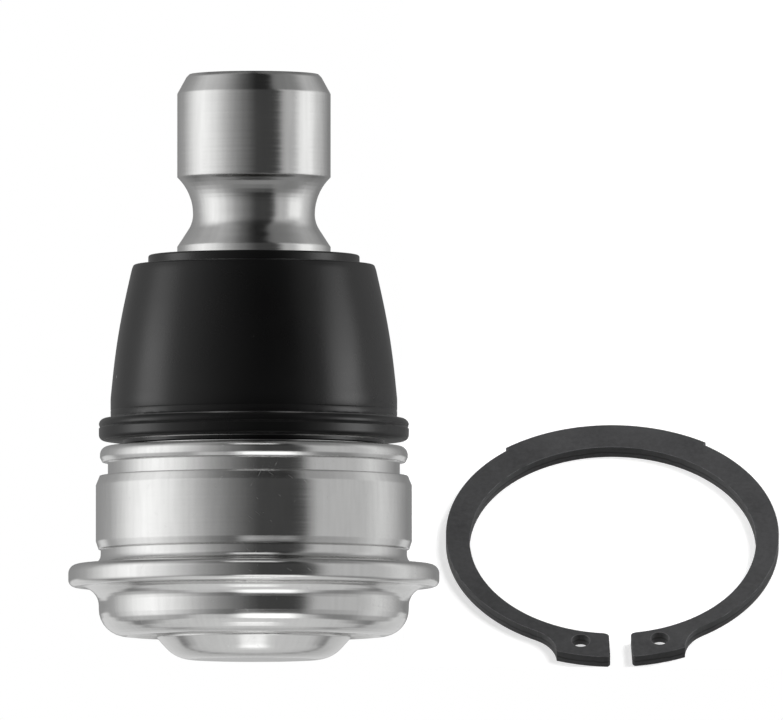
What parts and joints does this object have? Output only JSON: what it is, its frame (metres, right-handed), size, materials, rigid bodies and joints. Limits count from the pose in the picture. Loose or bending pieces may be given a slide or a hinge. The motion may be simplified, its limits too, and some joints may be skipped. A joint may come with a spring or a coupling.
{
  "type": "suspension ball joint",
  "caption": "Press-in suspension ball joint with a pinch-bolt stud, a flanged steel housing, a rubber dust boot and a loose retaining ring.",
  "frame": {"origin": "centre of the ball, which lies inside the length of the press land", "axes": "+Z along the stud from the ball to the tip, -Y towards the viewer of the picture, +X towards the retaining ring"},
  "size_m": [0.095, 0.0857, 0.0779],
  "materials": {
    "housing_steel": "machined and zinc plated, satin, with fine scratches",
    "cap_steel": "pressed sheet, zinc plated, satin",
    "stud_steel": "turned, bright, with fine lathe lines",
    "boot_rubber": "moulded black rubber, matte with a soft sheen",
    "seal_rubber": "moulded black rubber",
    "seat_plastic": "moulded bearing plastic, natural",
    "spring_steel": "spring steel, oiled",
    "ring_steel": "black phosphated spring steel, matte, edges worn a little lighter"
  },
  "bodies": {
    "housing": {"housing": "housing_steel", "end_cap": "cap_steel", "cap_seal": "seal_rubber", "preload_spring": "spring_steel", "lower_seat": "seat_plastic", "upper_seat": "seat_plastic"},
    "boot": {"dust_boot": "boot_rubber", "boot_base_ring": "spring_steel"},
    "boot_neck": {"boot_neck_sleeve": "seat_plastic", "boot_neck_ring": "spring_steel"},
    "stud": {"ball_stud": "stud_steel"},
    "loose_ring": {"retaining_ring": "ring_steel"}
  },
  "joints": [
    {"name": "boot_turn", "type": "hinge", "parent": "housing", "child": "boot", "pos_m": [0, 0, 0], "axis": [0, 0, 1], "continuous": true},
    {"name": "stud_swing", "type": "hinge", "parent": "boot", "child": "boot_neck", "pos_m": [0, 0, 0], "axis": [0, 1, 0], "range_deg": [-24, 24], "deforming": ["dust_boot"]},
    {"name": "stud_spin", "type": "hinge", "parent": "boot_neck", "child": "stud", "pos_m": [0, 0, 0], "axis": [0, 0, 1], "continuous": true},
    {"name": "ring_lift", "type": "slide", "parent": "housing", "child": "loose_ring", "axis": [0, 0, 1], "range_m": [0, 0.06]}
  ]
}
